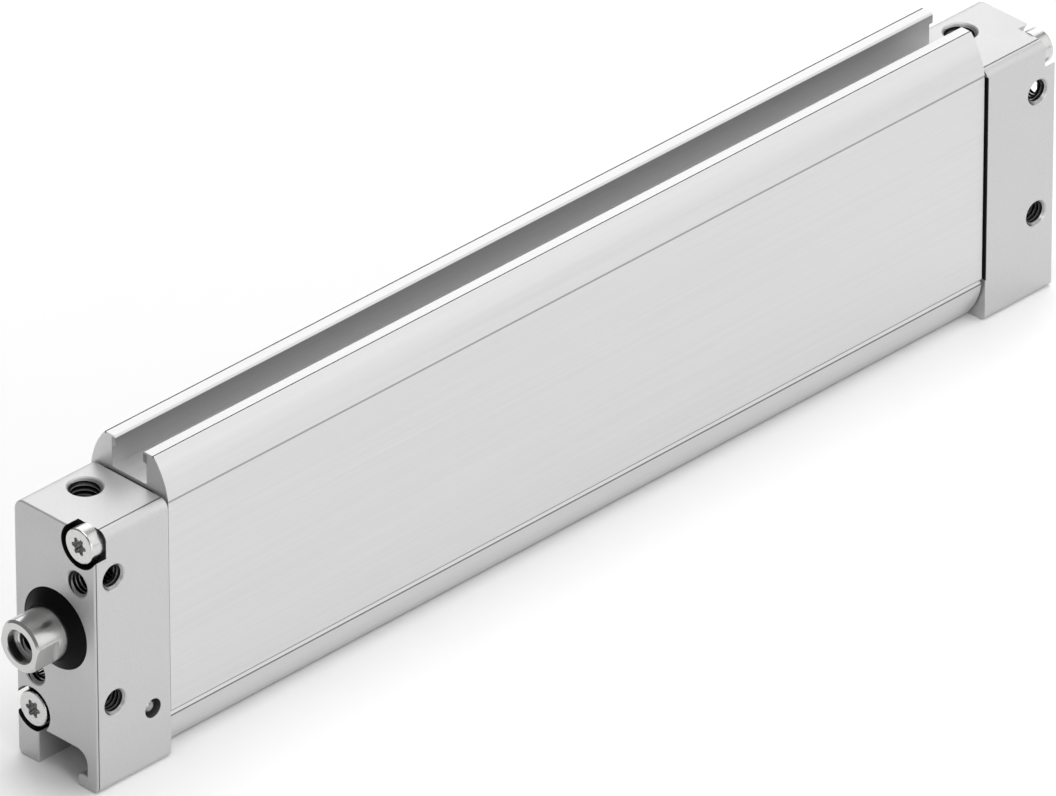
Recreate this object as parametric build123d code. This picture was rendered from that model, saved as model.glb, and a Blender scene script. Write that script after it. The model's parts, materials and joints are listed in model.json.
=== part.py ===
from build123d import *
import os
from math import sqrt

# Flat double-acting pneumatic cylinder with an oval piston, in millimetres.
# The origin is on the piston rod's axis, in the front face of the front cap.
# +X is the way the rod extends, +Y the wide side with the plugged drilling of
# the front cap, and +Z the side with the supply ports. The rod is drawn retracted.

# End caps
cap_overhang = 0.35
cap_top = 18.0
cap_bottom = 23.9
cap_depth = 14.15
cap_port_corner = 2.0
cap_edge_corner = 1.5
cap_foot_corner = 1.0
cap_edge_round = 0.3
seam_from_side = 1.4
seam_width = 0.25
seam_depth = 0.3

# Groove along the underside of each cap, with a lip on one leg
groove_near_wall = 3.9
groove_far_wall = 5.8
groove_height = 5.9
groove_corner = 2.0
lip_height = 2.05
lip_nose = 0.9

# Extruded barrel with one sensor slot above and one below
barrel_width = 15.3
side_top = 17.5
ear_top = 23.6
ear_edge = 4.85
ear_radius = 12.2
ear_chamfer = 0.25
slot_floor = 18.5
slot_width = 6.8
slot_mouth = 5.5
slot_lip = 1.65
slot_lip_slope = 0.25
side_groove_top = 16.7
side_groove_width = 0.9
side_groove_depth = 0.35
ear_line_from_edge = 0.05
ear_line_width = 0.2
ear_line_depth = 0.2
side_line_width = 0.4
side_line_depth = 0.1

# Oval bore and stroke
bore_width = 11.6
bore_height = 25.6
stroke = 125.0
end_play = 0.1

# Spigots, flange gaskets and buffers
gasket_thickness = 0.4
gasket_inset = 0.6
gasket_corner = 3.0
spigot_length = 6.0
spigot_clearance = 0.05
spigot_groove_start = 2.0
spigot_groove_width = 2.0
spigot_groove_depth = 0.8
static_seal_clearance = 0.02
buffer_thickness = 1.6
buffer_clearance = 0.2
buffer_rod_clearance = 0.6
buffer_air_clearance = 0.3

# Cap screws, two to a cap on a diagonal
screw_from_side = 2.75
screw_from_slot = 3.05
screw_radius = 1.5
screw_length = 20.0
screw_hole_clearance = 0.1
thread_clearance = 0.02
tapped_extra = 1.5
head_radius = 2.7
head_height = 2.2
head_round = 0.25
counterbore_clearance = 0.75
lobe_count = 6
lobe_radius = 0.34
lobe_reach = 1.4
lobe_core_radius = 1.0
lobe_depth = 1.3

# Fixing threads in the faces and sides of the caps
fixing_radius = 2.0
fixing_core_radius = 1.65
fixing_chamfer = 0.15
face_thread_y = 4.4
face_thread_z = 9.1
face_thread_depth = 8.0
side_thread_x = 3.6
side_thread_z = 10.2
tap_drill_extra = 1.0

# Supply ports and air channels
port_radius = 2.5
port_core_radius = 2.1
port_chamfer = 0.2
port_x = 8.7
port_y = -2.8
port_depth = 5.0
channel_radius = 1.0
channel_y = -2.5
channel_from_bore_end = 3.4

# Drilling closed with a pressed ball
ball_radius = 1.45
ball_clearance = 0.05
ball_x = 10.75
ball_z = 14.4
ball_sunk = 0.35
ball_drill_radius = 0.8
ball_drill_length = 5.0

# Rod guide in the front cap
pocket_radius = 6.25
rod_clearance = 0.03
seal_lip_clearance = 0.05
wiper_depth = 3.4
wiper_sunk = 0.1
wiper_lip_out = 1.4
wiper_lip_width = 0.3
support_width = 0.8
support_clearance = 0.2
rod_seal_width = 3.4
bushing_radius = 5.0
bushing_length = 8.0
bushing_inset = 0.4
spigot_rod_clearance = 0.3

# Piston rod
rod_radius = 4.0
rod_tip = 7.0
rod_tip_chamfer = 0.35
rod_flats = 7.0
rod_flats_length = 3.9
rod_flats_angle = -13.6
rod_mouth_radius = 2.5
rod_mouth_depth = 1.8
rod_mouth_chamfer = 0.15
rod_thread_radius = 2.0
rod_thread_depth = 10.0
tail_radius = 2.5
tail_clearance = 0.05
tail_out = 0.6

# Piston
piston_clearance = 0.15
flange_length = 7.4
core_length = 8.0
seal_depth = 1.15
piston_seal_start = 4.4
piston_seal_width = 2.2
piston_seal_clearance = 0.05
band_clearance = 0.05
magnet_length = 4.0
magnet_width = 3.4
magnet_height = 4.0
magnet_from_bore_end = 4.8
magnet_clearance = 0.05
o_ring_radius = 3.55
o_ring_width = 0.9
nut_flats = 8.0
nut_height = 2.7
nut_clearance = 0.05
washer_radius = 3.9
washer_thickness = 0.5

# Widths and heights that follow from the sizes above
cap_width = barrel_width + 2 * cap_overhang
screw_y = barrel_width / 2 - screw_from_side
screw_z = slot_floor - screw_from_slot
channel_z = bore_height / 2 - channel_from_bore_end
magnet_z = bore_height / 2 - magnet_from_bore_end

# Places along the axis that follow from the sizes above
piston_length = 2 * flange_length + core_length
barrel_length = stroke + piston_length + 2 * (spigot_length + buffer_thickness + end_play)
barrel_front = -cap_depth - gasket_thickness
barrel_rear = barrel_front - barrel_length
rear_face = barrel_rear - gasket_thickness - cap_depth
spigot_end = barrel_front - spigot_length
piston_rear = barrel_rear + spigot_length + buffer_thickness + end_play
piston_front = piston_rear + piston_length
core_rear = piston_rear + flange_length
core_front = core_rear + core_length
core_middle = core_rear + core_length / 2
support_front = -wiper_depth
support_rear = support_front - support_width
pocket_floor = support_rear - rod_seal_width
bushing_front = pocket_floor - bushing_inset
bushing_end = bushing_front - bushing_length
nut_pocket_depth = washer_thickness + nut_height + tail_out

# Rows of equal features, as (y, z) or as heights
screw_places = [(screw_y, screw_z), (-screw_y, -screw_z)]
face_thread_places = [(face_thread_y, face_thread_z), (-face_thread_y, -face_thread_z)]
side_thread_heights = [side_thread_z, -side_thread_z]

low_align = (Align.CENTER, Align.CENTER, Align.MIN)


def prism(sketch, start, end):
    """Extrude a sketch of the YZ plane from one x to another."""
    return extrude(Plane.YZ.offset(min(start, end)) * sketch, amount=abs(end - start))


def oval(width, height):
    """Upright oval section."""
    return SlotOverall(height, width, rotation=90)


def ring(outer, inner, start, end):
    """Round ring about the rod's axis."""
    return prism(Circle(outer) - Circle(inner), start, end)


def drill(radius, start, direction, depth):
    """Round hole from a point along a direction."""
    return extrude(Plane(origin=start, z_dir=direction) * Circle(radius), amount=depth)


def tapped_hole(radius, core_radius, chamfer_size, start, direction, depth):
    """Thread at its nominal size, with an entry chamfer and the end of its tap drill."""
    mouth = Plane(origin=start, z_dir=direction)
    entry = mouth * Cone(radius + chamfer_size, radius, chamfer_size, align=low_align)
    core = drill(core_radius, start, direction, depth + tap_drill_extra)
    return drill(radius, start, direction, depth) + entry + core


def round_corners(section, places, radius):
    """Round those corners of a section that lie at the given (y, z) places."""
    near = [v for v in section.vertices() for y, z in places if abs(v.X - y) + abs(v.Y - z) < 0.01]
    return fillet(near, radius)


def flipped(solid):
    """The same piece at the rear end: mirrored about the middle of the cylinder."""
    return mirror(solid, about=Plane.YZ.offset(rear_face / 2))


def cap_outline():
    """Section of an end cap: two legs below, a groove between them and a lip on one leg."""
    half = cap_width / 2
    ceiling = groove_height - cap_bottom
    lip_top = lip_height - cap_bottom
    block = Pos(0, (cap_top - cap_bottom) / 2) * Rectangle(cap_width, cap_top + cap_bottom)
    groove = Polygon(
        (-groove_near_wall, -cap_bottom), (groove_near_wall, -cap_bottom), (groove_near_wall, lip_top),
        (groove_far_wall, lip_top), (groove_far_wall, ceiling), (-groove_near_wall, ceiling), align=None)
    section = block - groove
    section = round_corners(section, [(groove_far_wall, ceiling)], groove_corner)
    section = round_corners(section, [(groove_near_wall, lip_top), (groove_near_wall, -cap_bottom)], lip_nose)
    section = round_corners(section, [(-half, -cap_bottom), (half, -cap_bottom)], cap_foot_corner)
    section = round_corners(section, [(-half, cap_top)], cap_port_corner)
    return round_corners(section, [(half, cap_top)], cap_edge_corner)


def cap_body():
    """What both end caps share, drawn at the front: block, spigot, screw seats, threads and port."""
    body = prism(cap_outline(), -cap_depth, 0)
    outer_face = body.faces().sort_by(Axis.X)[-1]
    body = fillet(outer_face.edges(), cap_edge_round)
    seam_y = cap_width / 2 - seam_from_side
    seam = Polygon(
        (seam_y - seam_width / 2, cap_top), (seam_y + seam_width / 2, cap_top),
        (seam_y, cap_top - seam_depth), align=None)
    body -= prism(seam, -cap_depth, 0)
    spigot = oval(bore_width - 2 * spigot_clearance, bore_height - 2 * spigot_clearance)
    body += prism(spigot, spigot_end, -cap_depth)
    body -= spigot_seal_space(spigot_clearance)
    for y, z in screw_places:
        body -= drill(screw_radius + screw_hole_clearance, (0, y, z), (-1, 0, 0), cap_depth)
        body -= drill(head_radius + counterbore_clearance, (0, y, z), (-1, 0, 0), head_height)
    for y, z in face_thread_places:
        body -= fixing_hole((0, y, z), (-1, 0, 0), face_thread_depth)
    for z in side_thread_heights:
        for side in (1, -1):
            body -= through_thread_half((-side_thread_x, side * cap_width / 2, z), (0, -side, 0))
    port_mouth = (-port_x, port_y, cap_top)
    port = tapped_hole(port_radius, port_core_radius, port_chamfer, port_mouth, (0, 0, -1), port_depth)
    riser = drill(channel_radius, (-port_x, channel_y, cap_top), (0, 0, -1), cap_top - channel_z)
    channel = drill(channel_radius, (spigot_end, channel_y, channel_z), (1, 0, 0), -port_x - spigot_end)
    return body - port - riser - channel


def fixing_hole(start, direction, depth):
    """Fixing thread of the caps."""
    return tapped_hole(fixing_radius, fixing_core_radius, fixing_chamfer, start, direction, depth)


def through_thread_half(start, direction):
    """Half of a fixing thread that goes right through a cap, from one side to its middle."""
    mouth = Plane(origin=start, z_dir=direction)
    entry = mouth * Cone(fixing_radius + fixing_chamfer, fixing_radius, fixing_chamfer, align=low_align)
    return drill(fixing_radius, start, direction, cap_width / 2) + entry


def spigot_seal_space(outside_gap):
    """Space of the spigot's seal, whose outside lies a gap inside the bore."""
    inner = 2 * (spigot_clearance + spigot_groove_depth)
    space = oval(bore_width - 2 * outside_gap, bore_height - 2 * outside_gap) - oval(
        bore_width - inner, bore_height - inner)
    start = barrel_front - spigot_groove_start
    return prism(space, start, start - spigot_groove_width)


def ball_center_depth():
    """How deep the sealing ball's centre lies under the cap's side."""
    return ball_sunk + ball_radius


def ball_seat():
    """Stepped drilling from the side of the front cap, on whose step the ball sits."""
    bore = ball_radius + ball_clearance
    seat = ball_center_depth() + sqrt(ball_radius ** 2 - ball_drill_radius ** 2)
    start = (-ball_x, cap_width / 2, -ball_z)
    return drill(bore, start, (0, -1, 0), seat) + drill(
        ball_drill_radius, start, (0, -1, 0), seat + ball_drill_length)


def sealing_ball():
    """Ball pressed into the drilling."""
    return Pos(-ball_x, cap_width / 2 - ball_center_depth(), -ball_z) * Sphere(ball_radius)


def front_cap():
    """Bearing cap: the shared body with the rod guide's bores."""
    body = cap_body() - ball_seat()
    body -= drill(pocket_radius, (0, 0, 0), (-1, 0, 0), -pocket_floor)
    body -= drill(bushing_radius, (0, 0, 0), (-1, 0, 0), -bushing_end)
    return body - drill(rod_radius + spigot_rod_clearance, (0, 0, 0), (-1, 0, 0), -spigot_end)


def rear_cap():
    """End cap: the shared body, mirrored to the rear."""
    return flipped(cap_body())


def ear_curve(side, height):
    """Curved flank of one ear, from its top edge down to the flat side."""
    edge = (side * ear_edge, height * ear_top)
    foot = (side * barrel_width / 2, height * side_top)
    return RadiusArc(edge, foot, side * height * ear_radius)


def barrel_outline():
    """Outer section of the barrel: flat sides and two ears at each slot."""
    half = barrel_width / 2
    outline = Line((-ear_edge, ear_top), (ear_edge, ear_top))
    outline += ear_curve(1, 1)
    outline += Line((half, side_top), (half, -side_top))
    outline += ear_curve(1, -1)
    outline += Line((ear_edge, -ear_top), (-ear_edge, -ear_top))
    outline += ear_curve(-1, -1)
    outline += Line((-half, -side_top), (-half, side_top))
    outline += ear_curve(-1, 1)
    return make_face(outline)


def slot_section(height):
    """Sensor slot above or below: a wide channel under two lips with chamfered edges."""
    wide, mouth = slot_width / 2, slot_mouth / 2
    lip_low = ear_top - slot_lip
    points = [
        (mouth + ear_chamfer, ear_top), (mouth, ear_top - ear_chamfer), (mouth, lip_low),
        (wide, lip_low - slot_lip_slope), (wide, slot_floor)]
    left = [(-y, z) for y, z in reversed(points)]
    return Polygon(*[(y, height * z) for y, z in points + left], align=None)


def side_groove_section(side):
    """Shallow V groove low on the flat side."""
    half = side * barrel_width / 2
    deep = half - side * side_groove_depth
    return Polygon(
        (half, -side_groove_top), (half, -side_groove_top - side_groove_width),
        (deep, -side_groove_top - side_groove_width / 2), align=None)


def ear_line_section(side, height):
    """Fine V groove along the top of an ear, beside its outer edge."""
    outer = ear_edge - ear_line_from_edge
    middle = outer - ear_line_width / 2
    points = [(outer, ear_top), (outer - ear_line_width, ear_top), (middle, ear_top - ear_line_depth)]
    return Polygon(*[(side * y, height * z) for y, z in points], align=None)


def side_line_section(side):
    """Fine ledge where the flat side meets the foot of the upper ear."""
    half = barrel_width / 2
    points = [
        (half, side_top - side_line_width), (half + side_line_depth, side_top),
        (half - side_line_depth, side_top)]
    return Polygon(*[(side * y, z) for y, z in points], align=None)


def barrel():
    """Extruded barrel with its oval bore and the threads of the cap screws."""
    section = barrel_outline() - oval(bore_width, bore_height)
    section -= slot_section(1)
    section -= slot_section(-1)
    for side in (1, -1):
        section -= side_groove_section(side)
        section -= side_line_section(side)
        section -= ear_line_section(side, 1)
        section -= ear_line_section(side, -1)
    body = prism(section, barrel_rear, barrel_front)
    engaged = screw_length - (cap_depth - head_height) - gasket_thickness
    for y, z in screw_places:
        for start, direction in ((barrel_front, -1), (barrel_rear, 1)):
            body -= drill(
                screw_radius + thread_clearance, (start, y, z), (direction, 0, 0), engaged + tapped_extra)
    return body


def gasket():
    """Flat gasket between the front cap and the barrel."""
    height = 2 * (slot_floor - gasket_inset)
    outline = RectangleRounded(barrel_width - 2 * gasket_inset, height, gasket_corner)
    outline -= oval(bore_width, bore_height)
    for y, z in screw_places:
        outline -= Pos(y, z) * Circle(screw_radius + screw_hole_clearance)
    return prism(outline, barrel_front, -cap_depth)


def spigot_seal():
    """Oval seal round the front cap's spigot."""
    return spigot_seal_space(static_seal_clearance)


def buffer(hole_radius):
    """Oval rubber buffer on the front spigot, with a hole in the middle and one for the air."""
    pad = oval(bore_width - 2 * buffer_clearance, bore_height - 2 * buffer_clearance)
    pad -= Circle(hole_radius)
    pad -= Pos(channel_y, channel_z) * Circle(channel_radius + buffer_air_clearance)
    return prism(pad, spigot_end - buffer_thickness, spigot_end)


def lobe_section():
    """Six-lobed drive of the screws."""
    lobe = Circle(lobe_radius)
    return Circle(lobe_core_radius) + PolarLocations(lobe_reach - lobe_radius, lobe_count) * lobe


def cap_screw(y, z):
    """Cap screw with its head's face flush with the cap's face."""
    head = prism(Circle(head_radius), -head_height, 0)
    head = fillet(head.edges().sort_by(Axis.X)[-1], head_round)
    head -= prism(lobe_section(), -lobe_depth, 0)
    shank = prism(Circle(screw_radius), -head_height - screw_length, -head_height)
    return Pos(0, y, z) * (head + shank)


def rod_wiper():
    """Rubber wiper whose cone rises to a lip on the rod."""
    lip = rod_radius + seal_lip_clearance
    points = [
        (-wiper_depth, lip), (-wiper_depth, pocket_radius), (-wiper_sunk, pocket_radius),
        (wiper_lip_out, lip + wiper_lip_width), (wiper_lip_out, lip)]
    return revolve(Plane.XY * Polygon(*points, align=None), axis=Axis.X)


def piston_rod():
    """Rod with an internal thread and two wrench flats at its tip, and a tail through the piston."""
    rod = prism(Circle(rod_radius), piston_front, rod_tip)
    rod = chamfer(rod.edges().sort_by(Axis.X)[-1], rod_tip_chamfer)
    flats = Rectangle(rod_flats, 4 * rod_radius)
    cutter = prism(Circle(2 * rod_radius) - flats, rod_tip - rod_flats_length, rod_tip)
    rod -= Rot(X=rod_flats_angle) * cutter
    tip = (rod_tip, 0, 0)
    thread_start = (rod_tip - rod_mouth_depth, 0, 0)
    rod -= drill(rod_mouth_radius, tip, (-1, 0, 0), rod_mouth_depth)
    entry = Cone(rod_mouth_radius + rod_mouth_chamfer, rod_mouth_radius, rod_mouth_chamfer, align=low_align)
    rod -= Plane(origin=tip, z_dir=(-1, 0, 0)) * entry
    rod -= tapped_hole(
        rod_thread_radius, fixing_core_radius, fixing_chamfer, thread_start, (-1, 0, 0), rod_thread_depth)
    return rod + prism(Circle(tail_radius), piston_rear, piston_front)


def piston_section():
    """Oval of the piston's flanges."""
    return oval(bore_width - 2 * piston_clearance, bore_height - 2 * piston_clearance)


def core_section():
    """Oval of the piston's core and of its seal grooves' floors."""
    inset = 2 * (piston_clearance + seal_depth)
    return oval(bore_width - inset, bore_height - inset)


def piston_half(outer_end, core_end):
    """One piston half: a flange with a seal groove, and its share of the core with magnet pockets."""
    toward = 1 if core_end > outer_end else -1
    flange_end = outer_end + toward * flange_length
    groove_start = outer_end + toward * piston_seal_start
    half = prism(piston_section(), outer_end, flange_end) + prism(core_section(), flange_end, core_end)
    half -= prism(piston_section() - core_section(), groove_start, groove_start + toward * piston_seal_width)
    half -= prism(Circle(tail_radius + tail_clearance), outer_end, core_end)
    pocket = Rectangle(magnet_width + 2 * magnet_clearance, magnet_height + 2 * magnet_clearance)
    for z in (magnet_z, -magnet_z):
        depth = magnet_length / 2 + magnet_clearance
        half -= prism(Pos(0, z) * pocket, core_end, core_end - toward * depth)
    return half


def piston_front_half():
    """Front half, with the recess of the rod's static seal."""
    recess = ring(o_ring_radius, tail_radius, piston_front - o_ring_width, piston_front)
    return piston_half(piston_front, core_middle) - recess


def nut_section(flats):
    """Hexagon with two flats upright along Z."""
    return RegularPolygon(flats / 2, 6, major_radius=False, rotation=30)


def piston_rear_half():
    """Rear half, with the nut's pocket."""
    pocket = prism(nut_section(nut_flats + 2 * nut_clearance), piston_rear, piston_rear + nut_pocket_depth)
    return piston_half(piston_rear, core_middle) - pocket


def piston_nut():
    """Thin nut on the rod's tail."""
    seat = piston_rear + nut_pocket_depth - washer_thickness
    return prism(nut_section(nut_flats) - Circle(tail_radius + thread_clearance), seat - nut_height, seat)


def piston_washer():
    """Washer under the nut."""
    seat = piston_rear + nut_pocket_depth
    return ring(washer_radius, tail_radius + tail_clearance, seat - washer_thickness, seat)


def piston_seal(outer_end, toward):
    """Oval seal in the groove of one piston half."""
    outside = 2 * piston_seal_clearance
    start = outer_end + toward * piston_seal_start
    section = oval(bore_width - outside, bore_height - outside) - core_section()
    return prism(section, start, start + toward * piston_seal_width)


def guide_band():
    """Plastic band round the core, between the flanges."""
    outside = 2 * piston_seal_clearance
    section = oval(bore_width - outside, bore_height - outside) - core_section()
    return prism(section, core_rear + band_clearance, core_front - band_clearance)


def magnet(z):
    """Bar magnet in the pockets of both piston halves."""
    return Pos(core_middle, 0, z) * Box(magnet_length, magnet_width, magnet_height)


def rod_o_ring():
    """Static seal between the rod's shoulder and the piston."""
    return ring(o_ring_radius, tail_radius, piston_front - o_ring_width, piston_front)


front_screws = Compound(children=[cap_screw(y, z) for y, z in screw_places])

pieces = {
    "front_cap": front_cap(),
    "rear_cap": rear_cap(),
    "barrel": barrel(),
    "front_gasket": gasket(),
    "rear_gasket": flipped(gasket()),
    "front_spigot_seal": spigot_seal(),
    "rear_spigot_seal": flipped(spigot_seal()),
    "front_buffer": buffer(rod_radius + buffer_rod_clearance),
    "rear_buffer": flipped(buffer(channel_radius + buffer_air_clearance)),
    "front_screws": front_screws,
    "rear_screws": flipped(front_screws),
    "sealing_ball": sealing_ball(),
    "rod_wiper": rod_wiper(),
    "seal_support_ring": ring(pocket_radius, rod_radius + support_clearance, support_rear, support_front),
    "rod_seal": ring(pocket_radius, rod_radius + seal_lip_clearance, pocket_floor, support_rear),
    "rod_bushing": ring(bushing_radius, rod_radius + rod_clearance, bushing_end, bushing_front),
    "piston_rod": piston_rod(),
    "piston_front_half": piston_front_half(),
    "piston_rear_half": piston_rear_half(),
    "piston_seal_front": piston_seal(piston_front, -1),
    "piston_seal_rear": piston_seal(piston_rear, 1),
    "piston_guide_band": guide_band(),
    "piston_magnet_top": magnet(magnet_z),
    "piston_magnet_bottom": magnet(-magnet_z),
    "rod_o_ring": rod_o_ring(),
    "piston_washer": piston_washer(),
    "piston_nut": piston_nut(),
}

os.makedirs("parts", exist_ok=True)
for name, piece in pieces.items():
    export_step(piece, f"parts/{name}.step")
    print(name, len(piece.solids()), round(sum(solid.volume for solid in piece.solids()), 1))
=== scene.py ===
import json
from math import cos, pi, radians, sin

import bmesh
import bpy
from mathutils import Matrix, Vector


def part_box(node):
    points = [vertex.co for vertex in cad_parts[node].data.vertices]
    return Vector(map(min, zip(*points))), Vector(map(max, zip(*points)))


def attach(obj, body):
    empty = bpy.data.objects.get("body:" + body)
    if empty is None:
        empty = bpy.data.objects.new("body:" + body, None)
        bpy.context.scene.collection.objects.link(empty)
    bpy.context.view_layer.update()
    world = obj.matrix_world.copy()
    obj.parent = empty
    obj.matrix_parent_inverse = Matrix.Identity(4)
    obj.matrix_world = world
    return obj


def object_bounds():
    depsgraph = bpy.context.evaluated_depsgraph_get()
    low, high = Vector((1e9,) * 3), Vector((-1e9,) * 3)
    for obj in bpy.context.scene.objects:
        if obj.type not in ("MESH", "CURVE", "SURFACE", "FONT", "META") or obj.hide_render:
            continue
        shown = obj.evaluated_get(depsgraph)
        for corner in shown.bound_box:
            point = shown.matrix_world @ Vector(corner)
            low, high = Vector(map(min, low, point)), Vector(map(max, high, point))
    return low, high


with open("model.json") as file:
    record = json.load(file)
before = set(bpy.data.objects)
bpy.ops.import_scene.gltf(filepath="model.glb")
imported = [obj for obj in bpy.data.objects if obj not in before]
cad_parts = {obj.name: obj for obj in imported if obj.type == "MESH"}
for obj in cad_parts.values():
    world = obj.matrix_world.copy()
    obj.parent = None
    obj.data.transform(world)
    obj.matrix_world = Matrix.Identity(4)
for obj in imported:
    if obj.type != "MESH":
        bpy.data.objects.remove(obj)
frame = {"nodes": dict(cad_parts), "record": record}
cadBox = [list(corner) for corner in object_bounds()]
nodes = frame["nodes"]
mm = 0.001

# View
cameraSettings = {
    "place": (1411.21, 1499.70, 1303.78),  # mm, in the cylinder's own frame
    "azimuth": 44.923,  # degrees from +X towards +Y
    "elevation": 31.605,
    "roll": -0.056,
    "focalLength": 600.7, "sensorWidth": 36,  # mm: a long lens from far off
    "nearest": 0.1, "furthest": 20,  # metres that the camera sees
}


def addCamera(s):
    az, el, roll = (radians(s[key]) for key in ("azimuth", "elevation", "roll"))
    back = Vector((cos(el) * cos(az), cos(el) * sin(az), sin(el)))
    right = Vector((0, 0, 1)).cross(back).normalized()
    up = back.cross(right)
    turn = Matrix((right, up, back)).transposed() @ Matrix.Rotation(roll, 3, "Z")
    camera = bpy.data.objects.new("camera", bpy.data.cameras.new("camera"))
    camera.matrix_world = Matrix.Translation(Vector(s["place"]) * mm) @ turn.to_4x4()
    camera.data.lens = s["focalLength"]
    camera.data.sensor_width = s["sensorWidth"]
    camera.data.clip_start = s["nearest"]
    camera.data.clip_end = s["furthest"]
    bpy.context.scene.collection.objects.link(camera)
    bpy.context.scene.camera = camera


addCamera(cameraSettings)
print("camera placed")


# Small helpers for materials
def hexColor(code):  # sRGB hex to the linear values that shaders take
    channels = [int(code[i:i + 2], 16) / 255 for i in (1, 3, 5)]
    return [c / 12.92 if c <= 0.04045 else ((c + 0.055) / 1.055) ** 2.4 for c in channels] + [1.0]


def addNode(tree, kind, settings={}, links={}):
    node = tree.nodes.new(kind)
    for key, value in settings.items():
        if key in node.inputs:
            node.inputs[key].default_value = value
        else:
            setattr(node, key, value)
    for key, (source, output) in links.items():
        tree.links.new(source.outputs[output], node.inputs[key])
    return node


def addMath(tree, operation, *values):  # each value is a number or an output socket
    node = addNode(tree, "ShaderNodeMath", {"operation": operation})
    for socket, value in zip(node.inputs, values):
        if isinstance(value, (int, float)):
            socket.default_value = value
        else:
            tree.links.new(value, socket)
    return node.outputs[0]


def addMix(tree, blend, factor, low, high):  # mixes two colours, each a list or an output socket
    node = addNode(tree, "ShaderNodeMix", {"data_type": "RGBA", "blend_type": blend})
    tree.links.new(factor, node.inputs[0])
    for socket, value in ((node.inputs[6], low), (node.inputs[7], high)):  # the colour sockets A and B
        if isinstance(value, list):
            socket.default_value = value
        else:
            tree.links.new(value, socket)
    return node.outputs[2]


def distanceTo(tree, a, b):
    squares = [addMath(tree, "MULTIPLY", v, v) for v in (a, b)]
    return addMath(tree, "SQRT", addMath(tree, "ADD", *squares))


def nearLine(tree, value, target, width):  # 1 within half a width of the target, all in mm
    return addMath(tree, "COMPARE", value, target * mm, width / 2 * mm)


def isAbove(tree, value, limit):
    return addMath(tree, "GREATER_THAN", value, limit * mm)


def both(tree, a, b):
    return addMath(tree, "MULTIPLY", a, b)


def either(tree, a, b):
    return addMath(tree, "MAXIMUM", a, b)


def readPlace(tree):  # X, Y and Z of the CAD frame, in metres
    place = addNode(tree, "ShaderNodeTexCoord")
    return addNode(tree, "ShaderNodeSeparateXYZ", {}, {"Vector": (place, "Object")}).outputs


def inSeats(tree, x, y, z, s):  # 1 in the seats of the two front screws, which lie on one diagonal
    seatY, seatZ = s["seat"]
    across = addMath(tree, "MULTIPLY", y, addMath(tree, "SIGN", z))
    away = distanceTo(tree, addMath(tree, "SUBTRACT", across, seatY * mm),
                      addMath(tree, "SUBTRACT", addMath(tree, "ABSOLUTE", z), seatZ * mm))
    near = addMath(tree, "LESS_THAN", away, s["seatRadius"] * mm)
    return both(tree, near, isAbove(tree, x, -s["seatDepth"]))


def inDrilling(tree, x, y, z, s):  # 1 round the sealing ball, below the drilling's rim
    ballX, ballZ = s["ball"]
    away = distanceTo(tree, addMath(tree, "SUBTRACT", x, ballX * mm),
                      addMath(tree, "SUBTRACT", z, ballZ * mm))
    near = addMath(tree, "LESS_THAN", away, s["ballRadius"] * mm)
    middle = s["side"] - s["ballRim"] - s["ballDepth"] / 2
    return both(tree, near, nearLine(tree, y, middle, s["ballDepth"]))


def capPaintedShade(tree, s):  # painted shade: 1 in the front screw seats and at the rear joint, less in the drilling round the ball and on the line along the top and the front edge
    x, y, z = readPlace(tree)
    sideY = addMath(tree, "ABSOLUTE", y)
    topEdge = both(tree, nearLine(tree, y, s["topLine"], s["topLineWidth"]), isAbove(tree, z, s["top"]))
    frontEdge = both(tree, nearLine(tree, x, -s["round"], s["edgeWidth"]),
                     isAbove(tree, sideY, s["side"] - s["round"]))
    edges = addMath(tree, "MULTIPLY", either(tree, topEdge, frontEdge), s["edgeShade"])
    # painted shade at the rear cap's joint with the gasket
    joint = both(tree, nearLine(tree, x, s["jointX"], s["jointWidth"]),
                 nearLine(tree, z, 0, s["jointHeight"]))
    drilling = addMath(tree, "MULTIPLY", inDrilling(tree, x, y, z, s), s["ballShade"])
    paintedShade = either(tree, inSeats(tree, x, y, z, s), drilling)
    return either(tree, paintedShade, either(tree, edges, joint))


def barrelPaintedShade(tree, s):  # painted shade: 1 on the lines along the ears, less on the other lines and in the sensor slots
    x, y, z = readPlace(tree)
    sideY, height = addMath(tree, "ABSOLUTE", y), addMath(tree, "ABSOLUTE", z)
    lines = both(tree, nearLine(tree, sideY, s["earLine"], s["lineWidth"]),
                 isAbove(tree, height, s["earTop"]))
    footLine = both(tree, nearLine(tree, z, s["footLine"], s["footWidth"]), isAbove(tree, sideY, s["side"]))
    lines = either(tree, lines, addMath(tree, "MULTIPLY", footLine, s["footShade"]))
    for level in s["sideLines"]:
        line = both(tree, nearLine(tree, z, level, s["lineWidth"]), isAbove(tree, sideY, s["sideDeep"]))
        lines = either(tree, lines, addMath(tree, "MULTIPLY", line, s["sideShade"]))
    inSlot = both(tree, addMath(tree, "LESS_THAN", sideY, s["slotWall"] * mm),
                  isAbove(tree, height, s["slotFloor"]))
    inSlot = both(tree, inSlot, addMath(tree, "LESS_THAN", height, s["slotMouth"] * mm))
    deep, shallow = s["slotShade"]
    fade = addNode(tree, "ShaderNodeMapRange", {
        "From Min": s["slotFloor"] * mm, "From Max": s["slotMouth"] * mm, "To Min": deep, "To Max": shallow})
    tree.links.new(height, fade.inputs["Value"])
    return either(tree, lines, both(tree, inSlot, fade.outputs["Result"]))


def ballPaintedShade(tree, s):  # painted shade: 1 on the sealing ball, which lies in a slice of the front cap
    return nearLine(tree, readPlace(tree)[0], s["ballX"], s["slice"])


noiseSettings = {
    "darkest": 0.3, "lightest": 0.7,  # the part of the noise's range that holds nearly all its spots
    "grainDetail": 3.0, "patchDetail": 1.0,
}


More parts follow.
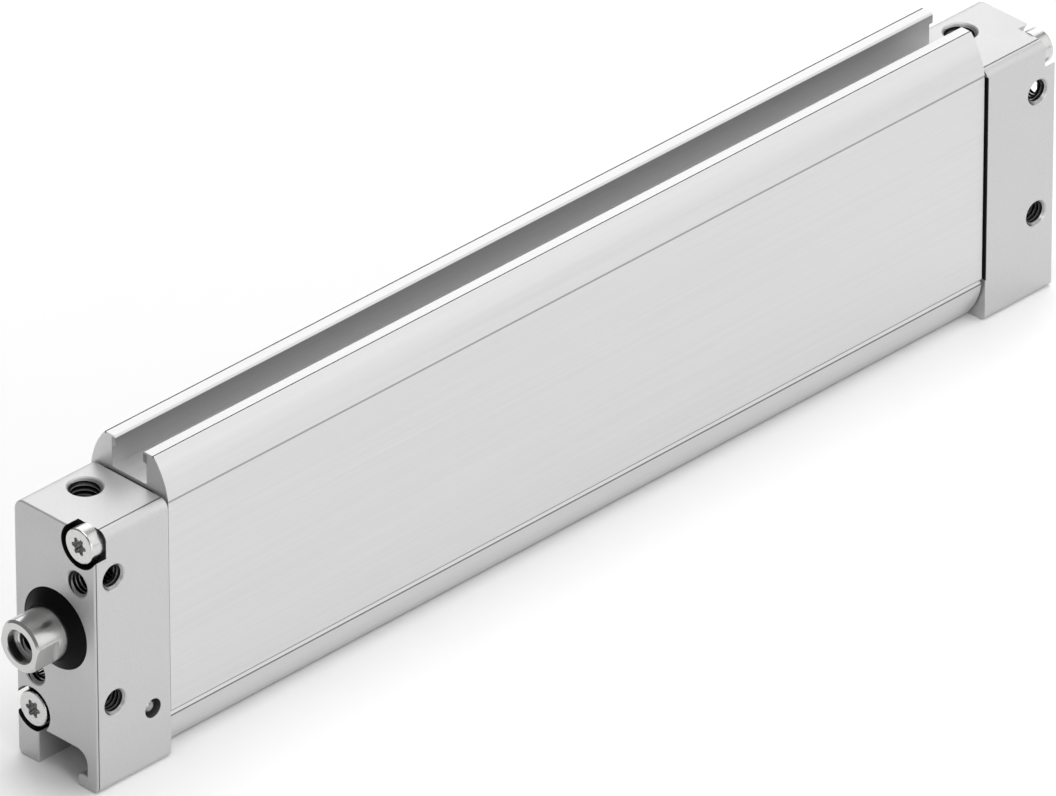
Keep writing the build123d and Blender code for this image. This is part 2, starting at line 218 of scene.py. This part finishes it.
def surfaceGrain(tree, spacing, detail):  # noise whose spots are spacing mm long on X, Y and Z
    place = addNode(tree, "ShaderNodeTexCoord")
    scaled = addNode(tree, "ShaderNodeMapping", {"Scale": [1 / (step * mm) for step in spacing]},
                     {"Vector": (place, "Object")})
    return addNode(tree, "ShaderNodeTexNoise", {"Scale": 1.0, "Detail": detail},
                   {"Vector": (scaled, "Vector")})


def makeFinish(name, s):
    material = bpy.data.materials.new(name)
    material.use_nodes = True
    tree = material.node_tree
    shader = tree.nodes["Principled BSDF"]
    shader.inputs["Metallic"].default_value = s["metallic"]
    shader.inputs["Specular IOR Level"].default_value = s.get("specular", 0.5)
    grain = surfaceGrain(tree, s["grain"], noiseSettings["grainDetail"])
    patches = surfaceGrain(tree, s["patches"], noiseSettings["patchDetail"])
    darkest, lightest = noiseSettings["darkest"], noiseSettings["lightest"]
    tint = addNode(tree, "ShaderNodeValToRGB", {}, {"Fac": (grain, "Fac")})
    for element, place, code in zip(tint.color_ramp.elements, (darkest, lightest), s["colors"]):
        element.position = place
        element.color = hexColor(code)
    low, high = s["roughness"]
    polish = addNode(tree, "ShaderNodeMapRange", {
        "From Min": darkest, "From Max": lightest, "To Min": low, "To Max": high},
        {"Value": (patches, "Fac")})
    relief = addNode(tree, "ShaderNodeBump", {"Strength": 1.0, "Distance": s["relief"] * mm},
                     {"Height": (grain, "Fac")})
    color = tint.outputs["Color"]
    # painted shade: where a finish has it, its base colour is multiplied by a darker colour in the masked
    # places
    if "paintedShade" in s:
        paintedShade = s["makePaintedShade"](tree, s["paintedShade"])
        color = addMix(tree, "MULTIPLY", paintedShade, color, hexColor(s["paintedShade"]["color"]))
    tree.links.new(color, shader.inputs["Base Color"])
    tree.links.new(polish.outputs["Result"], shader.inputs["Roughness"])
    tree.links.new(relief.outputs["Normal"], shader.inputs["Normal"])
    return material


# Finishes: colours from dark to light spots, grain and patches in mm on X, Y and Z, relief in mm
finishSettings = {
    # Clear anodised cast aluminium, machined: even, pale and silky. Its oxide scatters light,
    # so it isn't fully metallic
    "cap_aluminium": ("anodisedCastAluminium", {
        "colors": ("#C8C8C8", "#CDCDCD"), "metallic": 0.62, "roughness": (0.4, 0.46),
        "grain": (0.4, 0.4, 0.4), "patches": (9, 9, 9), "relief": 0.0005, "makePaintedShade": capPaintedShade,
        "paintedShade": {  # mm: painted shade, where soft studio light alone leaves the cap too pale
            "color": "#343434", "side": 8.0, "top": 17.6, "topLine": 6.6, "topLineWidth": 0.26,
            "seat": (4.9, 15.45), "seatRadius": 3.5, "seatDepth": 2.25,
            "ball": (-10.75, -14.4), "ballRadius": 1.55, "ballRim": 0.06, "ballDepth": 4.0,
            "ballShade": 0.78,
            "round": 0.3, "edgeWidth": 0.2, "edgeShade": 0.8,
            "jointX": -178.15, "jointWidth": 0.3, "jointHeight": 34.0}}),  # painted shade on the rear cap's face at its gasket
    # Clear anodised extrusion: the die leaves faint lengthwise lines, drawn wider than real so that they show
    "barrel_aluminium": ("anodisedExtrudedAluminium", {
        "colors": ("#D5D5D5", "#D9D9D9"), "metallic": 0.62, "roughness": (0.38, 0.43),
        "grain": (45, 0.5, 0.5), "patches": (60, 3, 3), "relief": 0.0003, "makePaintedShade": barrelPaintedShade,
        "paintedShade": {  # mm: painted shade on the extrusion's fine grooves and ledge, and on the slots' walls, darkest under their lips
            "color": "#4A4A4A", "earLine": 4.7, "earTop": 23.3, "side": 7.4, "lineWidth": 0.2,
            "footLine": 17.35, "footWidth": 0.34, "footShade": 0.5,
            "sideLines": (-16.75, -17.55), "sideDeep": 7.2, "sideShade": 0.8,
            "slotWall": 3.5, "slotFloor": 18.6, "slotMouth": 23.3, "slotShade": (0.1, 0.56)}}),
    # Bright zinc plating on cold-headed steel: smooth, a little cloudy
    "screw_steel": ("zincPlatedSteel", {
        "colors": ("#C8C8C7", "#D2D2D1"), "metallic": 1.0, "roughness": (0.24, 0.3),
        "grain": (0.5, 0.5, 0.5), "patches": (1.5, 1.5, 1.5), "relief": 0.0003, "makePaintedShade": ballPaintedShade,
        "paintedShade": {"color": "#C0C0C0", "ballX": -10.75, "slice": 3.0}}),  # mm: painted shade, the ball in its drilling greyer
    # Stainless steel, turned and polished: fine rings round the rod, drawn coarser than real
    "rod_steel": ("polishedStainlessSteel", {
        "colors": ("#C6C6C5", "#CDCDCC"), "metallic": 1.0, "roughness": (0.2, 0.26),
        "grain": (0.15, 12, 12), "patches": (3, 3, 3), "relief": 0.0001}),
    # Moulded nitrile rubber: black with a soft satin sheen
    "black_rubber": ("mouldedNitrileRubber", {
        "colors": ("#060606", "#0B0B0B"), "metallic": 0.0, "roughness": (0.4, 0.5), "specular": 0.07,
        "grain": (0.4, 0.4, 0.4), "patches": (2, 2, 2), "relief": 0.004}),
    # Punched nitrile sheet: black and matt
    "gasket_rubber": ("nitrileSheet", {
        "colors": ("#161616", "#222222"), "metallic": 0.0, "roughness": (0.7, 0.85),
        "grain": (0.3, 0.3, 0.3), "patches": (2, 2, 2), "relief": 0.004}),
    # Sintered bronze: dull gold with dark pores
    "bronze": ("sinteredBronze", {
        "colors": ("#8F6F3C", "#B8975C"), "metallic": 0.9, "roughness": (0.45, 0.6),
        "grain": (0.15, 0.15, 0.15), "patches": (1, 1, 1), "relief": 0.004}),
    # Natural acetal, moulded: creamy and satin
    "guide_plastic": ("mouldedAcetal", {
        "colors": ("#DDD8C6", "#E6E2D2"), "metallic": 0.0, "roughness": (0.35, 0.45),
        "grain": (0.6, 0.6, 0.6), "patches": (3, 3, 3), "relief": 0.002}),
    # Nickel plating on a sintered magnet: warm grey and bright
    "magnet_nickel": ("nickelPlatedMagnet", {
        "colors": ("#B9B4AA", "#C9C5BC"), "metallic": 1.0, "roughness": (0.22, 0.3),
        "grain": (0.4, 0.4, 0.4), "patches": (2, 2, 2), "relief": 0.001}),
}
finishes = {slot: makeFinish(name, s) for slot, (name, s) in finishSettings.items()}

# Tapped aluminium thread flanks, dark and glossy: painted shade inside the holes
shadedThreadFlank = makeFinish("threadFlankPaintedShade", {
    "colors": ("#161616", "#242424"), "metallic": 0.9, "roughness": (0.3, 0.4),
    "grain": (0.2, 0.2, 0.2), "patches": (1, 1, 1), "relief": 0.0008})
countersink = makeFinish("countersunkAluminium", {  # where the coil starts, duller than the machined faces
    "colors": ("#989898", "#ACACAC"), "metallic": 0.9, "roughness": (0.3, 0.4),
    "grain": (0.3, 0.3, 0.3), "patches": (1, 1, 1), "relief": 0.0004})

for part in frame["record"]["subparts"]:
    for socket in nodes[part["node"]].material_slots:
        socket.material = finishes[part["material_slot"]]
print("finishes on", len(nodes), "nodes")

# Threads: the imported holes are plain, so each gets a coil of thread flanks
threadSettings = {
    "M4": {"radius": 2.0, "coreRadius": 1.62, "pitch": 0.7, "mouthRadius": 2.15},
    "M5": {"radius": 2.5, "coreRadius": 2.07, "pitch": 0.8, "mouthRadius": 2.7},
    "stepsPerTurn": 36, "coneSegments": 64,
    "crest": 0.125,  # half a flat crest, as a share of the pitch
    "rootGap": 0.01,  # share of the pitch left at each side of a turn's root
    "sunk": 0.02,  # mm that the coil's root lies inside the hole's wall
    "runOut": 0.6,  # pitches that the coil starts outside a mouth, where the countersink cuts it off
    "clear": 2,  # pitches that a cutter reaches past what it cuts
}


def newPiece(name, bm, materials):  # an object from a finished bmesh
    mesh = bpy.data.meshes.new(name)
    bm.to_mesh(mesh)
    bm.free()
    for material in materials:
        mesh.materials.append(material)
    piece = bpy.data.objects.new(name, mesh)
    bpy.context.scene.collection.objects.link(piece)
    return piece


def threadCoil(name, size, length, turn, bright, throughHole):  # mouth at the origin, running down -Z, in mm
    s = threadSettings
    pitch, core, wall = size["pitch"], size["coreRadius"], size["radius"] + s["sunk"]
    halfRoot, halfCrest = pitch * (0.5 - s["rootGap"]), pitch * s["crest"]
    startHeight = s["runOut"] * pitch
    endHeight = -length - s["runOut"] * pitch if throughHole else halfRoot - length
    turns = (startHeight - endHeight) / pitch
    steps = round(turns * s["stepsPerTurn"])
    bm = bmesh.new()
    corners = [(wall, halfRoot), (core, halfCrest), (core, -halfCrest), (wall, -halfRoot)]
    ring = [bm.verts.new((r, 0, startHeight + h)) for r, h in corners]
    edges = [bm.edges.new((ring[i - 1], ring[i])) for i in range(4)]
    bmesh.ops.spin(bm, geom=ring + edges, cent=(0, 0, 0), axis=(0, 0, -1), angle=2 * pi * turns,
                   dvec=(0, 0, -pitch * turns / steps), steps=steps, use_merge=False)
    bmesh.ops.holes_fill(bm, edges=[e for e in bm.edges if e.is_boundary], sides=0)
    bmesh.ops.recalc_face_normals(bm, faces=bm.faces)
    for face in bm.faces:  # painted shade: the crests stay bright, the flanks dark
        face.material_index = 0 if max(v.co.xy.length for v in face.verts) < core + s["sunk"] else 1
    bmesh.ops.transform(bm, matrix=turn, verts=bm.verts)
    return newPiece(name, bm, [bright, shadedThreadFlank])


def coneCutter(turn, lowRadius, highRadius, low, high):  # a closed cone on the hole's own axis, in mm
    bm = bmesh.new()
    bmesh.ops.create_cone(bm, cap_ends=True, segments=threadSettings["coneSegments"],
                          radius1=lowRadius, radius2=highRadius, depth=high - low)
    bmesh.ops.translate(bm, vec=(0, 0, (high + low) / 2), verts=bm.verts)
    bmesh.ops.transform(bm, matrix=turn, verts=bm.verts)
    return newPiece("cutter", bm, [countersink])


def cutAway(piece, cutters):  # cuts the cutters out of a piece and deletes them
    for cutter in cutters:
        cut = piece.modifiers.new("cut", "BOOLEAN")
        cut.object = cutter
        cut.operation = "DIFFERENCE"
        cut.solver = "EXACT"
        cut.material_mode = "TRANSFER"
    solid = piece.evaluated_get(bpy.context.evaluated_depsgraph_get())
    mesh = bpy.data.meshes.new_from_object(solid)
    piece.modifiers.clear()
    piece.data = mesh
    for cutter in cutters:
        bpy.data.objects.remove(cutter)


def holeTurn(mouth, direction):  # puts a hole drawn at the origin at its mouth, +Z along the way out
    return Matrix.Translation(mouth) @ Vector(direction).to_track_quat("Z", "Y").to_matrix().to_4x4()


def addThread(name, size, mouth, direction, length, body, bright, throughHole=False, crossings=()):
    turn = holeTurn(mouth, direction)
    thread = threadCoil(name, size, length, turn, bright, throughHole)
    reach = size["mouthRadius"]
    deep = reach - size["coreRadius"] + threadSettings["sunk"]
    clear = threadSettings["clear"] * size["pitch"]
    cutters = [coneCutter(turn, reach - deep, reach + clear, -deep, clear)]
    if throughHole:
        cutters.append(coneCutter(turn, reach + clear, reach - deep, -length - clear, -length + deep))
    for place, axis, depth in crossings:
        radius = threadSettings["M4"]["radius"]
        cutters.append(coneCutter(holeTurn(place, axis), radius, radius, -depth, clear))
    cutAway(thread, cutters)
    thread.data.transform(Matrix.Scale(mm, 4))
    thread.data.shade_flat()
    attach(thread, body)


holeSettings = {  # mm, from the middle of the cap's face or the cap's edges
    "face": (4.4, 9.1), "faceDepth": 8.0,
    "sideFromFace": 3.6, "sideHeight": 10.2,
    "portFromFace": 8.7, "portY": -2.8, "portDepth": 5.0,
    "rodMouthDepth": 1.8, "rodDepth": 10.0,
}


def capThreads(s):
    capAluminium = finishes["cap_aluminium"]
    small, port = threadSettings["M4"], threadSettings["M5"]
    faceY, faceZ = s["face"]
    for end, node in (("front", "front_cap"), ("rear", "rear_cap")):
        low, high = (Vector(corner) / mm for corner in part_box(node))
        width = high.y - low.y
        out = 1 if end == "front" else -1
        faceX = high.x if end == "front" else low.x
        sideX = faceX - out * s["sideFromFace"]
        for level, sign in (("upper", 1), ("lower", -1)):
            face = ((faceX, sign * faceY, sign * faceZ), (out, 0, 0), s["faceDepth"])
            side = ((sideX, high.y, sign * s["sideHeight"]), (0, 1, 0), width)
            addThread(f"{end}_{level}_face_thread", small, *face, "housing", capAluminium, crossings=[side])
            addThread(f"{end}_{level}_side_thread", small, *side, "housing", capAluminium,
                      throughHole=True, crossings=[face])
        portPlace = (faceX - out * s["portFromFace"], s["portY"], high.z)
        addThread(f"{end}_port_thread", port, portPlace, (0, 0, 1), s["portDepth"], "housing", capAluminium)
    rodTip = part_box("piston_rod")[1][0] / mm
    addThread("rod_tip_thread", small, (rodTip - s["rodMouthDepth"], 0, 0), (1, 0, 0), s["rodDepth"],
              "rod_assembly", finishes["rod_steel"])


capThreads(holeSettings)
print("threads cut")

# Floor and light
floorSettings = {
    "size": 6.0,  # metres
    "seenColor": "#FFFFFF",  # to the camera and in reflections
    "bounceColor": "#B0B0B0",  # in the light that it sends back onto the cylinder
    "roughness": 0.9,
}


def addFloor(s):
    bm = bmesh.new()
    bmesh.ops.create_grid(bm, x_segments=1, y_segments=1, size=s["size"] / 2)
    bmesh.ops.translate(bm, vec=(0, 0, cadBox[0][2]), verts=bm.verts)
    mesh = bpy.data.meshes.new("floor")
    bm.to_mesh(mesh)
    bm.free()
    floor = bpy.data.objects.new("floor", mesh)
    bpy.context.scene.collection.objects.link(floor)
    material = bpy.data.materials.new("paleFloor")
    material.use_nodes = True
    tree = material.node_tree
    shader = tree.nodes["Principled BSDF"]
    shader.inputs["Roughness"].default_value = s["roughness"]
    shader.inputs["Specular IOR Level"].default_value = 0.0  # a matt floor mirrors nothing
    light = addNode(tree, "ShaderNodeLightPath").outputs
    mirrored = addMath(tree, "MAXIMUM", light["Is Glossy Ray"], light["Is Transmission Ray"])
    seen = addMath(tree, "MAXIMUM", light["Is Camera Ray"], mirrored)
    color = addMix(tree, "MIX", seen, hexColor(s["bounceColor"]), hexColor(s["seenColor"]))
    tree.links.new(color, shader.inputs["Base Color"])
    mesh.materials.append(material)


lampSettings = {  # mm and watts
    "side": {"place": (-920, 920, 740), "size": 1500, "power": 7.0},
    "fill": {"place": (200, 1250, 350), "size": 700, "power": 6.0},
    "top": {"place": (-96, 0, 1300), "size": 1000, "power": 10.0},
    "back": {"place": (-940, -840, 730), "size": 1200, "power": 6.5},
}
worldSettings = {"color": "#FFFFFF", "strength": 0.25}


def addLamps(lamps):
    target = (Vector(cadBox[0]) + Vector(cadBox[1])) / 2
    for name, s in lamps.items():
        data = bpy.data.lights.new(name, "AREA")
        data.shape = "SQUARE"
        data.size = s["size"] * mm
        data.energy = s["power"]
        lamp = bpy.data.objects.new(name + "Lamp", data)
        lamp.location = Vector(s["place"]) * mm
        lamp.rotation_euler = (lamp.location - target).to_track_quat("Z", "Y").to_euler()
        bpy.context.scene.collection.objects.link(lamp)


def addWorld(s):
    world = bpy.data.worlds.new("studio")
    world.use_nodes = True
    background = world.node_tree.nodes["Background"]
    background.inputs["Color"].default_value = hexColor(s["color"])
    background.inputs["Strength"].default_value = s["strength"]
    bpy.context.scene.world = world


addFloor(floorSettings)
addLamps(lampSettings)
addWorld(worldSettings)
bpy.context.scene.view_settings.view_transform = "Standard"
print("floor, lamps and world set")
